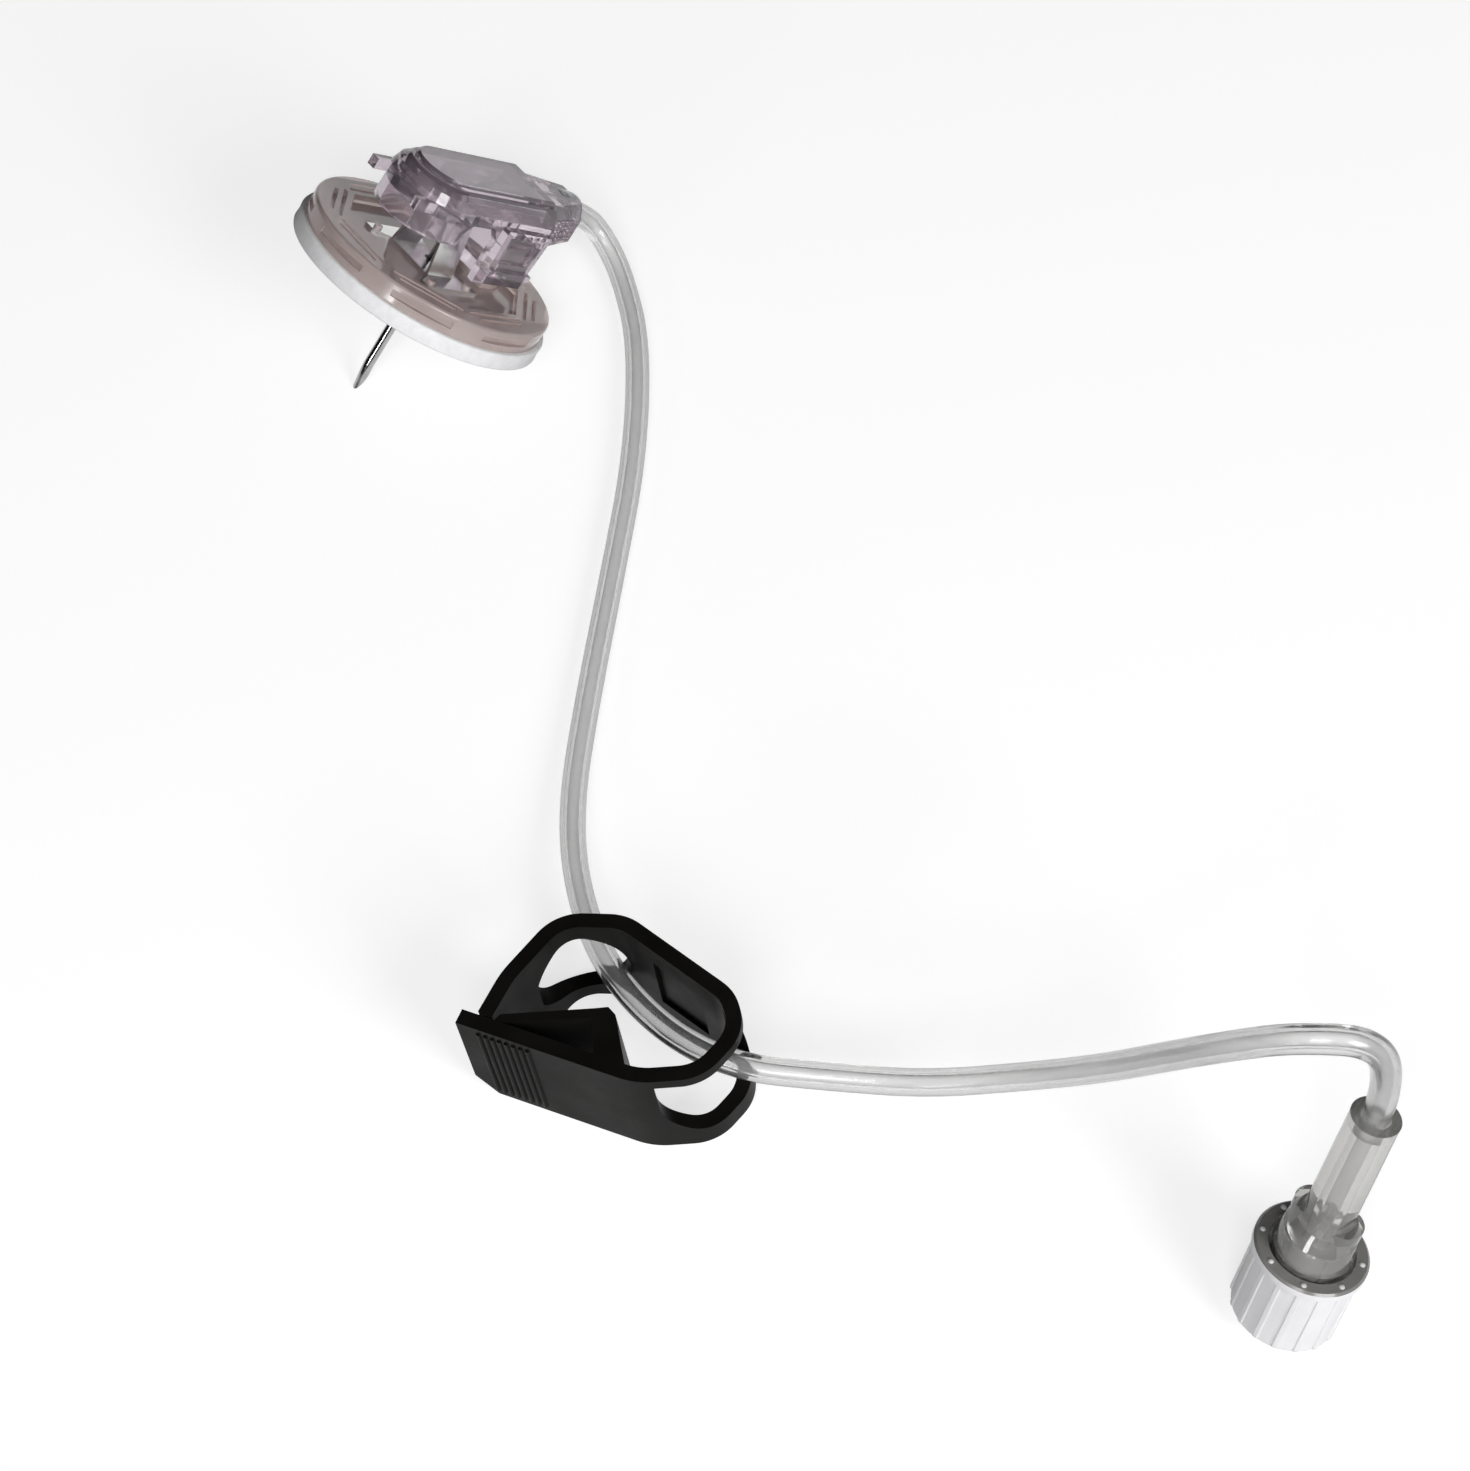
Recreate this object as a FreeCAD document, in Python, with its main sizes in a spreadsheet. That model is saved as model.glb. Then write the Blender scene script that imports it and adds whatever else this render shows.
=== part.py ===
import FreeCAD, Part
import math
import os
import Sketcher
from FreeCAD import Placement, Rotation, Vector

# Safety Huber needle set with its extension tube, pinch clamp and capped luer connector.
# Lengths are in millimetres. The set lies on a table, whose top is Z = 0. The head leans on
# its needle tip and on the rim of its foam pad, and the origin is below the middle of the head.

doc = FreeCAD.newDocument("huber_needle_set")
sheet = doc.addObject("Spreadsheet::Sheet", "sizes")

# alias, value, what it is
drivingSizes = [
    ("needle_out", 12.6, "needle below the pad"),
    ("needle_radius", 0.53, "outside of the cannula, 19 gauge"),
    ("needle_wall", 0.16, "wall of the cannula"),
    ("needle_bend", 1.6, "bend of the cannula inside the hub"),
    ("tip_length", 2.6, "bent and bevelled end of the needle"),
    ("tip_turn", 11, "turn of the needle's end in degrees"),
    ("bevel_slant", 9, "angle of the bevel from the shank in degrees"),
    ("needle_slack", 0.05, "clearance between needle and hub"),
    ("pad_radius", 13.6, "foam pad"),
    ("pad_thick", 1.8, "foam pad"),
    ("disc_radius", 13.1, "base disc"),
    ("disc_thick", 2.1, "base disc"),
    ("disc_edge", 0.35, "rounded upper edge of the base disc"),
    ("well_apothem", 9.3, "octagonal well in the base disc"),
    ("well_depth", 0.9, "octagonal well in the base disc"),
    ("frame_groove", 0.45, "width of the grooves along the octagon"),
    ("frame_groove_depth", 0.7, "depth of the grooves along the octagon"),
    ("frame_groove_length", 7.6, "length of the grooves along the octagon"),
    ("rim_slot_height", 0.7, "slots in the rim of the base disc"),
    ("rim_slot_length", 6.6, "slots in the rim of the base disc"),
    ("loop_rib", 0.6, "width of the loop ribs below the tail"),
    ("loop_radius", 3.5, "outer loop rib"),
    ("guard_sheet", 0.3, "steel of the needle guard"),
    ("guard_width", 3.6, "legs of the needle guard"),
    ("guard_shift", -1.5, "legs of the needle guard, from the needle"),
    ("guard_reach", 3.1, "foot of a guard leg, from the needle"),
    ("guard_lean", 1.1, "how far a guard leg leans in at its top"),
    ("guard_side", 1.2, "steel beside the legs, for the needle's hole"),
    ("guard_height", 5.6, "legs of the needle guard"),
    ("guard_foot", 7.2, "length of a splayed foot"),
    ("guard_foot_width", 2.0, "width of a splayed foot"),
    ("peg_radius", 0.42, "stakes that hold the guard's feet"),
    ("moving_gap", 0.3, "clearance between the hub and what slides off it"),
    ("hub_half", 4.7, "half width of the hub"),
    ("hub_nose", 10.2, "front end of the hub, from the needle"),
    ("hub_wall", 0.8, "wall of the hub"),
    ("hub_roof", 1.5, "roof of the hub's cavity"),
    ("nose_rise", 3.6, "gap below the hub's nose, over the guard's feet"),
    ("hub_back", 8.2, "back end of the hub's body"),
    ("seam_height", 11.4, "joint between hub and lid, which is the needle's height too"),
    ("lid_height", 1.7, "domed part of the lid"),
    ("lid_plate", 0.55, "top plate of the lid"),
    ("lid_rim", 0.15, "how far the lid's rim stands proud"),
    ("grip_out", 0.9, "finger grips, from the hub's side"),
    ("grip_length", 6.0, "finger grips"),
    ("tail_end", 14.0, "end of the tail, from the needle"),
    ("tail_half", 2.6, "half width of the tail's end"),
    ("socket_end", 14.9, "end of the tube socket, from the needle"),
    ("socket_radius", 1.95, "tube socket"),
    ("socket_seat", 1.6, "depth of the socket's seat in the tail"),
    ("tube_radius", 1.2, "extension tube"),
    ("tube_seat", 1.4, "how deep the tube sits in its sockets"),
    ("tube_slack", 0.05, "clearance round the tube's ends"),
    ("clamp_width", 12.0, "height of the clamp's strip as it stands"),
    ("clamp_wall", 1.35, "clamp's strip"),
    ("clamp_hole", 4.2, "radius of the clamp's round tube hole"),
    ("clamp_lean", 5.6, "lean of the clamp in degrees"),
    ("clamp_ridge", 0.22, "grip ridges of the clamp"),
    ("barrel_radius", 2.08, "barrel of the luer connector"),
    ("barrel_top", 25.2, "top of the barrel, from the cap's closed end"),
    ("shoulder_top", 13.6, "top of the connector's shoulder"),
    ("mouth_low", 1.9, "mouth of the connector, from the cap's closed end"),
    ("mouth_radius", 3.0, "collar of the connector's mouth"),
    ("taper_radius", 2.15, "mouth of the luer taper"),
    ("taper_length", 8.0, "length of the luer taper"),
    ("lug_reach", 0.35, "lugs of the luer connector"),
    ("tab_end", 3.1, "side tabs of the connector's shoulder, from its axis"),
    ("tab_half", 1.7, "half width of the side tabs"),
    ("tab_thick", 1.1, "side tabs of the connector's shoulder"),
    ("cap_radius", 4.5, "luer cap"),
    ("cap_height", 8.6, "luer cap"),
    ("cap_wall", 0.7, "luer cap"),
    ("cap_floor", 1.2, "luer cap"),
    ("cap_mouth", 3.6, "opening inside the cap's rim"),
    ("cap_rim", 0.34, "how far the cap's rim stands proud"),
    ("cap_rim_height", 1.1, "luer cap's rim"),
    ("cap_ribs", 16, "ribs round the luer cap"),
    ("connector_lean", 17.0, "lean of the connector in degrees"),
]
for row, (alias, value, meaning) in enumerate(drivingSizes, start=1):
    sheet.set(f"A{row}", meaning)
    sheet.set(f"B{row}", str(value))
    sheet.setAlias(f"B{row}", alias)
doc.recompute()


working = doc.addObject("Spreadsheet::Sheet", "working")


def size(alias):
    return float(sheet.get(alias))


def amount(expression):
    """What an expression comes to, so that geometry is drawn where its constraint will hold it."""
    working.set("A1", f"={expression}")
    working.recompute()
    return float(working.get("A1"))


# Small helpers for sketches and bodies


def newBody(label):
    body = doc.addObject("PartDesign::Body", label)
    body.Label = label
    return body


def plane(body, role):
    return [feature for feature in body.Origin.OriginFeatures if feature.Role == role][0]


def newSketch(body, name, role="XY_Plane", lift=None):
    sketch = body.newObject("Sketcher::SketchObject", name)
    sketch.AttachmentSupport = [(plane(body, role), "")]
    sketch.MapMode = "FlatFace"
    if lift is not None:
        sketch.setExpression("AttachmentOffset.Base.z", lift)
    return sketch


def bind(sketch, kind, targets, expression):
    index = sketch.addConstraint(Sketcher.Constraint(kind, *targets, amount(expression)))
    sketch.setExpression(f"Constraints[{index}]", expression)


def outline(sketch, corners):
    """Closed polygon whose corners are pairs of expressions."""
    points = [Vector(amount(across), amount(along), 0) for across, along in corners]
    first = sketch.GeometryCount
    count = len(points)
    for index in range(count):
        sketch.addGeometry(Part.LineSegment(points[index], points[(index + 1) % count]))
    for index, (across, along) in enumerate(corners):
        edge = first + index
        following = first + (index + 1) % count
        sketch.addConstraint(Sketcher.Constraint("Coincident", edge, 2, following, 1))
        bind(sketch, "DistanceX", (-1, 1, edge, 1), across)
        bind(sketch, "DistanceY", (-1, 1, edge, 1), along)


def circle(sketch, across, along, radius):
    centre = Vector(amount(across), amount(along), 0)
    index = sketch.addGeometry(Part.Circle(centre, Vector(0, 0, 1), amount(radius)))
    bind(sketch, "DistanceX", (-1, 1, index, 3), across)
    bind(sketch, "DistanceY", (-1, 1, index, 3), along)
    bind(sketch, "Radius", (index,), radius)


def rounded(sketch, back, nose, half):
    """Bar from X = back to a round nose whose tip is at X = nose, half to each side."""
    side = 1 if amount(nose) > amount(back) else -1
    turnAt = amount(f"{nose} - ({side}) * ({half})")
    start = amount(back)
    width = amount(half)
    centre = Vector(turnAt, 0, 0)
    arc = Part.ArcOfCircle(Part.Circle(centre, Vector(0, 0, 1), width),
                           *((-math.pi / 2, math.pi / 2) if side > 0 else (math.pi / 2, 3 * math.pi / 2)))
    ends = (Vector(turnAt, -side * width, 0), Vector(turnAt, side * width, 0))
    first = sketch.addGeometry(arc)
    upper = sketch.addGeometry(Part.LineSegment(ends[1], Vector(start, side * width, 0)))
    closing = sketch.addGeometry(Part.LineSegment(Vector(start, side * width, 0), Vector(start, -side * width, 0)))
    lower = sketch.addGeometry(Part.LineSegment(Vector(start, -side * width, 0), ends[0]))
    for edge, end, following, begin in ((first, 2, upper, 1), (upper, 2, closing, 1),
                                        (closing, 2, lower, 1), (lower, 2, first, 1)):
        sketch.addConstraint(Sketcher.Constraint("Coincident", edge, end, following, begin))
    sketch.addConstraint(Sketcher.Constraint("Horizontal", upper))
    sketch.addConstraint(Sketcher.Constraint("Horizontal", lower))
    sketch.addConstraint(Sketcher.Constraint("Vertical", closing))
    sketch.addConstraint(Sketcher.Constraint("PointOnObject", first, 3, -1))
    bind(sketch, "DistanceX", (-1, 1, first, 3), f"{nose} - ({side}) * ({half})")
    bind(sketch, "Radius", (first,), half)
    bind(sketch, "DistanceX", (-1, 1, closing, 1), back)


def pad(body, name, sketch, length, middle=False):
    feature = body.newObject("PartDesign::Pad", name)
    feature.Profile = sketch
    feature.setExpression("Length", length)
    feature.Midplane = middle
    return feature


def pocket(body, name, sketch, length, upwards=False, middle=False):
    feature = body.newObject("PartDesign::Pocket", name)
    feature.Profile = sketch
    feature.setExpression("Length", length)
    feature.Reversed = upwards
    feature.Midplane = middle
    return feature


def turned(body, name, sketch):
    feature = body.newObject("PartDesign::Revolution", name)
    feature.Profile = sketch
    feature.ReferenceAxis = (sketch, ["V_Axis"])
    feature.Angle = 360
    return feature


def polar(body, name, features, count):
    feature = body.newObject("PartDesign::PolarPattern", name)
    feature.Originals = features
    feature.Axis = (plane(body, "Z_Axis"), [""])
    feature.Angle = 360
    feature.setExpression("Occurrences", count)
    body.Tip = feature
    return feature


def softened(body, name, picks, radius, kind="Fillet"):
    """Fillet or chamfer on the edges of the body's shape that the test picks."""
    doc.recompute()
    base = body.Tip
    names = [f"Edge{index}" for index, edge in enumerate(base.Shape.Edges, start=1) if picks(edge)]
    feature = body.newObject(f"PartDesign::{kind}", name)
    feature.Base = (base, names)
    feature.setExpression("Radius" if kind == "Fillet" else "Size", radius)
    return feature


def roundAt(radius, height):
    """Test for full circles about the Z axis with this radius and height."""
    def test(edge):
        curve = edge.Curve
        if not isinstance(curve, Part.Circle):
            return False
        onAxis = math.hypot(curve.Center.x, curve.Center.y) < 1e-6
        return onAxis and abs(curve.Radius - radius) < 1e-4 and abs(curve.Center.z - height) < 1e-4
    return test


# Head: its own frame has Z along the needle, away from the skin, and X towards the tail.
# Z = 0 is the skin side of the foam pad.

padBody = newBody("foam_pad")
padSketch = newSketch(padBody, "pad_outline")
circle(padSketch, "0", "0", "sizes.pad_radius")
circle(padSketch, "0", "0", "sizes.needle_radius + 2 * sizes.moving_gap")
pad(padBody, "pad_sheet", padSketch, "sizes.pad_thick")

discTop = "(sizes.pad_thick + sizes.disc_thick)"
wellFloor = f"({discTop} - sizes.well_depth)"

discBody = newBody("base_disc")
discSketch = newSketch(discBody, "disc_outline", lift="sizes.pad_thick")
circle(discSketch, "0", "0", "sizes.disc_radius")
circle(discSketch, "0", "0", "sizes.needle_radius + sizes.moving_gap")
pad(discBody, "disc_plate", discSketch, "sizes.disc_thick")
softened(discBody, "disc_rim", roundAt(size("disc_radius"), size("pad_thick") + size("disc_thick")),
         "sizes.disc_edge")

halfSide = "sizes.well_apothem * tan(22.5)"
wellSketch = newSketch(discBody, "well_outline", lift=discTop)
outline(wellSketch, [
    ("sizes.well_apothem", f"0 - {halfSide}"), ("sizes.well_apothem", halfSide),
    (halfSide, "sizes.well_apothem"), (f"0 - {halfSide}", "sizes.well_apothem"),
    ("0 - sizes.well_apothem", halfSide), ("0 - sizes.well_apothem", f"0 - {halfSide}"),
    (f"0 - {halfSide}", "0 - sizes.well_apothem"), (halfSide, "0 - sizes.well_apothem")])
pocket(discBody, "well", wellSketch, "sizes.well_depth")

# Two grooves along each side of the octagon leave the paired ribs, and a slot lies in the rim.
grooveSketch = newSketch(discBody, "groove_outline", lift=discTop)
for number in (1, 2):
    inner = f"sizes.well_apothem + {number} * 1.5 * sizes.frame_groove + {number - 1} * 0.3"
    half = f"sizes.frame_groove_length / 2 - {number - 1} * 0.8"
    outline(grooveSketch, [
        (inner, f"0 - ({half})"), (f"{inner} + sizes.frame_groove", f"0 - ({half})"),
        (f"{inner} + sizes.frame_groove", half), (inner, half)])
grooves = pocket(discBody, "frame_grooves", grooveSketch, "sizes.frame_groove_depth")
slotSketch = newSketch(discBody, "rim_slot_outline",
                       lift="sizes.pad_thick + sizes.disc_thick / 2 + sizes.rim_slot_height / 2")
outline(slotSketch, [
    ("sizes.disc_radius * 0.955", "0 - sizes.rim_slot_length / 2"),
    ("sizes.disc_radius + 1", "0 - sizes.rim_slot_length / 2"),
    ("sizes.disc_radius + 1", "sizes.rim_slot_length / 2"),
    ("sizes.disc_radius * 0.955", "sizes.rim_slot_length / 2")])
rimSlot = pocket(discBody, "rim_slot", slotSketch, "sizes.rim_slot_height")
polar(discBody, "eight_sides", [grooves, rimSlot], "8")

# Nested loop ribs in the well, below the tail.
loopSketch = newSketch(discBody, "loop_outline", lift=wellFloor)
for outer in ("sizes.loop_radius", "sizes.loop_radius - 2.5 * sizes.loop_rib"):
    rounded(loopSketch, "4.2", f"5.6 + {outer}", outer)
    rounded(loopSketch, "4.2 + sizes.loop_rib", f"5.6 + {outer} - sizes.loop_rib", f"{outer} - sizes.loop_rib")
pad(discBody, "loop_ribs", loopSketch, "sizes.well_depth * 0.75")

pegAcross = "(sizes.guard_foot / 2 - 1)"
pegAlong = "(sizes.guard_reach + sizes.guard_foot_width * 0.7)"
pegSketch = newSketch(discBody, "peg_outline", lift=wellFloor)
for across in (-1, 1):
    for along in (-1, 1):
        circle(pegSketch, f"sizes.guard_shift + ({across}) * {pegAcross}", f"({along}) * {pegAlong}",
               "sizes.peg_radius")
pad(discBody, "stake_pegs", pegSketch, "sizes.guard_sheet + 0.3")

guardBody = newBody("needle_guard")
guardSketch = newSketch(guardBody, "guard_base_outline", lift=wellFloor)
strapLeft = "sizes.guard_shift - sizes.guard_width / 2"
strapRight = "sizes.guard_shift + sizes.guard_width / 2 + sizes.guard_side"
footLeft = "sizes.guard_shift - sizes.guard_foot / 2"
footRight = "sizes.guard_shift + sizes.guard_foot / 2"
footNear = "(sizes.guard_reach + 0.15)"
footFar = f"({footNear} + sizes.guard_foot_width)"
toe = "sizes.guard_foot_width * 0.45"
outline(guardSketch, [
    (strapLeft, f"0 - {footNear}"), (footLeft, f"0 - {footNear} - {toe}"), (footLeft, f"0 - {footFar}"),
    (footRight, f"0 - {footFar}"), (footRight, f"0 - {footNear} - {toe}"), (strapRight, f"0 - {footNear}"),
    (strapRight, footNear), (footRight, f"{footNear} + {toe}"), (footRight, footFar),
    (footLeft, footFar), (footLeft, f"{footNear} + {toe}"), (strapLeft, footNear)])
circle(guardSketch, "0", "0", "sizes.needle_radius + sizes.moving_gap")
for across in (-1, 1):
    for along in (-1, 1):
        circle(guardSketch, f"sizes.guard_shift + ({across}) * {pegAcross}", f"({along}) * {pegAlong}",
               "sizes.peg_radius + 0.02")
pad(guardBody, "guard_base", guardSketch, "sizes.guard_sheet")
legSketch = newSketch(guardBody, "guard_leg_outline", role="YZ_Plane", lift="sizes.guard_shift")
legFoot = f"{wellFloor} + sizes.guard_sheet / 2"
legTop = f"{wellFloor} + sizes.guard_height"
for side in (-1, 1):
    lean = "(sizes.guard_reach - sizes.guard_lean)"
    outline(legSketch, [
        (f"({side}) * (sizes.guard_reach - sizes.guard_sheet)", legFoot),
        (f"({side}) * sizes.guard_reach", legFoot),
        (f"({side}) * {lean}", legTop),
        (f"({side}) * ({lean} - 0.9)", f"{legTop} + 0.25"),
        (f"({side}) * ({lean} - 0.9)", f"{legTop} + 0.25 - sizes.guard_sheet"),
        (f"({side}) * ({lean} - sizes.guard_sheet)", f"{legTop} - sizes.guard_sheet")])
pad(guardBody, "guard_legs", legSketch, "sizes.guard_width", middle=True)

hubBody = newBody("hub_body")
hubBottom = f"({discTop} + sizes.moving_gap)"
hubHeight = f"(sizes.seam_height - {hubBottom})"
hubSketch = newSketch(hubBody, "hub_outline", lift=hubBottom)
rounded(hubSketch, "sizes.hub_back", "0 - sizes.hub_nose", "sizes.hub_half")
pad(hubBody, "hub_block", hubSketch, hubHeight)

# Two snap ears stand out of the nose, below the lid.
earSketch = newSketch(hubBody, "ear_outline", lift="sizes.seam_height - 1.1")
for side in (-1, 1):
    outline(earSketch, [
        ("0 - sizes.hub_nose - 0.9", f"({side}) * 2.9"), ("0 - sizes.hub_nose + 1.8", f"({side}) * 2.9"),
        ("0 - sizes.hub_nose + 1.8", f"({side}) * 3.9"), ("0 - sizes.hub_nose - 0.9", f"({side}) * 3.9")])
pad(hubBody, "snap_ears", earSketch, "1.1")

# Finger grips stand out on both sides, over a narrower lip.
gripSketch = newSketch(hubBody, "grip_outline", role="XZ_Plane")
gripBack = "(sizes.hub_back - 1.2)"
outline(gripSketch, [
    (f"{gripBack} - sizes.grip_length", f"{hubBottom} + 2.2"), (gripBack, f"{hubBottom} + 2.2"),
    (f"{gripBack} + 0.5", "sizes.seam_height - 0.6"), (f"{gripBack} - sizes.grip_length", "sizes.seam_height - 0.6")])
pad(hubBody, "finger_grips", gripSketch, "2 * (sizes.hub_half + sizes.grip_out)", middle=True)
lipSketch = newSketch(hubBody, "grip_lip_outline", role="XZ_Plane")
outline(lipSketch, [
    (f"{gripBack} - sizes.grip_length - 0.3", f"{hubBottom} + 1.6"), (f"{gripBack} + 0.2", f"{hubBottom} + 1.6"),
    (f"{gripBack} + 0.2", f"{hubBottom} + 2.25"), (f"{gripBack} - sizes.grip_length - 0.3", f"{hubBottom} + 2.25")])
pad(hubBody, "grip_lips", lipSketch, "2 * (sizes.hub_half + sizes.grip_out + 0.45)", middle=True)
recessSketch = newSketch(hubBody, "grip_recess_outline", role="XZ_Plane",
                         lift="sizes.hub_half + sizes.grip_out")
outline(recessSketch, [
    (f"{gripBack} - sizes.grip_length + 1", f"{hubBottom} + 3"), (f"{gripBack} - 0.9", f"{hubBottom} + 3"),
    (f"{gripBack} - 0.6", "sizes.seam_height - 1.4"), (f"{gripBack} - sizes.grip_length + 1", "sizes.seam_height - 1.4")])
recessDepth = "sizes.grip_out * 0.45"
nearRecess = pocket(hubBody, "near_recess", recessSketch, recessDepth)
mirrored = hubBody.newObject("PartDesign::Mirrored", "far_recess")
mirrored.Originals = [nearRecess]
mirrored.MirrorPlane = (plane(hubBody, "XZ_Plane"), [""])
hubBody.Tip = mirrored

# The tail narrows from the back of the hub to the seat of the tube socket.
tailRoot = newSketch(hubBody, "tail_root", role="YZ_Plane", lift="sizes.hub_back - 0.2")
rootHalf = "(sizes.hub_half - 0.5)"
outline(tailRoot, [
    (f"0 - {rootHalf}", "sizes.seam_height - 2.6"), (rootHalf, "sizes.seam_height - 2.6"),
    (rootHalf, "sizes.seam_height + 1"), (f"{rootHalf} - 1.2", "sizes.seam_height + sizes.lid_height"),
    (f"0 - {rootHalf} + 1.2", "sizes.seam_height + sizes.lid_height"), (f"0 - {rootHalf}", "sizes.seam_height + 1")])
tailTip = newSketch(hubBody, "tail_tip", role="YZ_Plane", lift="sizes.tail_end")
outline(tailTip, [
    ("0 - sizes.tail_half", "sizes.seam_height - 2.1"), ("sizes.tail_half", "sizes.seam_height - 2.1"),
    ("sizes.tail_half", "sizes.seam_height + 0.5"), ("sizes.tail_half - 1", "sizes.seam_height + 2.1 - 0.3"),
    ("0 - sizes.tail_half + 1", "sizes.seam_height + 2.1 - 0.3"), ("0 - sizes.tail_half", "sizes.seam_height + 0.5")])
tail = hubBody.newObject("PartDesign::AdditiveLoft", "tail")
tail.Profile = tailRoot
tail.Sections = [tailTip]
tail.Ruled = True

cavitySketch = newSketch(hubBody, "cavity_outline", lift=hubBottom)
rounded(cavitySketch, "3.0", "0 - sizes.hub_nose + sizes.hub_wall", "sizes.hub_half - sizes.hub_wall")
pocket(hubBody, "cavity", cavitySketch, f"{hubHeight} - sizes.hub_roof", upwards=True)

# Side windows show the guard's legs, with a rounded head.
windowSketch = newSketch(hubBody, "window_outline", role="XZ_Plane")
windowHalf = "(sizes.guard_width / 2 + 0.8)"
windowTop = "(sizes.seam_height - sizes.hub_roof + 0.3)"
outline(windowSketch, [
    (f"sizes.guard_shift - {windowHalf}", f"{hubBottom} - 1"), (f"sizes.guard_shift + {windowHalf}", f"{hubBottom} - 1"),
    (f"sizes.guard_shift + {windowHalf}", f"{windowTop} - 1.2"), (f"sizes.guard_shift + {windowHalf} - 1", windowTop),
    (f"sizes.guard_shift - {windowHalf} + 1", windowTop), (f"sizes.guard_shift - {windowHalf}", f"{windowTop} - 1.2")])
pocket(hubBody, "windows", windowSketch, "4 * sizes.hub_half", middle=True)

# The nose's wall ends well above the disc, so that the guard can be seen from the front.
riseSketch = newSketch(hubBody, "nose_rise_outline", role="XZ_Plane")
outline(riseSketch, [
    ("0 - sizes.hub_nose - 2", f"{hubBottom} - 1"), (f"sizes.guard_shift - {windowHalf} + 0.1", f"{hubBottom} - 1"),
    (f"sizes.guard_shift - {windowHalf} + 0.1", f"{hubBottom} + sizes.nose_rise"),
    ("0 - sizes.hub_nose - 2", f"{hubBottom} + sizes.nose_rise")])
pocket(hubBody, "nose_rise", riseSketch, "4 * sizes.hub_half", middle=True)

# Channel for the needle: down the middle, round its bend and back along the joint with the lid.
needleRoom = "(sizes.needle_radius + sizes.needle_slack)"
bendSketch = newSketch(hubBody, "bend_room_outline", lift="sizes.seam_height")
outline(bendSketch, [
    (f"0 - {needleRoom}", f"0 - {needleRoom}"), ("sizes.needle_bend", f"0 - {needleRoom}"),
    ("sizes.needle_bend", needleRoom), (f"0 - {needleRoom}", needleRoom)])
pocket(hubBody, "bend_room", bendSketch, "sizes.hub_roof + 1")
channelSketch = newSketch(hubBody, "channel_outline", role="YZ_Plane", lift="sizes.needle_bend - 0.01")
circle(channelSketch, "0", "sizes.seam_height", needleRoom)
pocket(hubBody, "channel", channelSketch, "sizes.tail_end", upwards=True)
seatSketch = newSketch(hubBody, "socket_seat_outline", role="YZ_Plane", lift="sizes.tail_end")
circle(seatSketch, "0", "sizes.seam_height", "sizes.socket_radius")
pocket(hubBody, "socket_seat", seatSketch, "sizes.socket_seat")

lidBody = newBody("hub_lid")
lidEnd = "(sizes.hub_back - 0.25)"
lidSections = []
for name, lift, nose, half in (
        ("lid_rim_outline", "0", "sizes.hub_nose + sizes.lid_rim", "sizes.hub_half + sizes.lid_rim"),
        ("lid_dome_outline", "sizes.lid_height * 0.6", "sizes.hub_nose - 0.35", "sizes.hub_half - 0.2"),
        ("lid_top_outline", "sizes.lid_height", "sizes.hub_nose - 1.3", "sizes.hub_half - 0.9")):
    section = newSketch(lidBody, name, lift=f"sizes.seam_height + {lift}")
    rounded(section, lidEnd, f"0 - ({nose})", half)
    lidSections.append(section)
dome = lidBody.newObject("PartDesign::AdditiveLoft", "dome")
dome.Profile = lidSections[0]
dome.Sections = lidSections[1:]
dome.Ruled = True
plateSketch = newSketch(lidBody, "top_plate_outline", lift="sizes.seam_height + sizes.lid_height - 0.02")
plateHalf = "(sizes.hub_half - 1.2)"
plateFront = "(0 - sizes.hub_nose + 1.7)"
rounded(plateSketch, lidEnd, plateFront, plateHalf)
pad(lidBody, "top_plate", plateSketch, "sizes.lid_plate + 0.02")
plateTop = size("seam_height") + size("lid_height") + size("lid_plate")
softened(lidBody, "top_plate_edge", lambda edge: all(abs(end.Point.z - plateTop) < 1e-4 for end in edge.Vertexes),
         "0.25", kind="Chamfer")
hollowSketch = newSketch(lidBody, "lid_hollow_outline", lift="sizes.seam_height")
rounded(hollowSketch, "sizes.hub_back - 1.4", "0 - sizes.hub_nose + 1.5", "sizes.hub_half - 1.3")
pocket(lidBody, "lid_hollow", hollowSketch, "sizes.lid_height * 0.6", upwards=True)
lidChannelSketch = newSketch(lidBody, "lid_channel_outline", role="YZ_Plane", lift="sizes.hub_back - 2")
circle(lidChannelSketch, "0", "sizes.seam_height", needleRoom)
pocket(lidBody, "lid_channel", lidChannelSketch, "3", upwards=True)

socketBody = newBody("tube_socket")
socketSketch = newSketch(socketBody, "socket_profile", role="XZ_Plane")
# The profile lies along X at the needle's height and is turned about that line.
socketStart = "(sizes.tail_end - sizes.socket_seat)"
bore = "(sizes.needle_radius + 0.02)"
tubeRoom = "(sizes.tube_radius + sizes.tube_slack)"
seam = "sizes.seam_height"
outline(socketSketch, [
    (socketStart, f"{seam} + {bore}"), (socketStart, f"{seam} + sizes.socket_radius - 0.04"),
    ("sizes.tail_end + 0.2", f"{seam} + sizes.socket_radius - 0.04"),
    ("sizes.socket_end", f"{seam} + sizes.socket_radius - 0.2"), ("sizes.socket_end", f"{seam} + {tubeRoom}"),
    ("sizes.socket_end - sizes.tube_seat", f"{seam} + {tubeRoom}"),
    ("sizes.socket_end - sizes.tube_seat", f"{seam} + {bore}")])
axisLine = socketSketch.addGeometry(Part.LineSegment(Vector(0, size("seam_height"), 0),
                                                     Vector(size("socket_end"), size("seam_height"), 0)), True)
bind(socketSketch, "DistanceY", (-1, 1, axisLine, 1), seam)
socketSketch.addConstraint(Sketcher.Constraint("Horizontal", axisLine))
socketSketch.addConstraint(Sketcher.Constraint("PointOnObject", axisLine, 1, -2))
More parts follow.
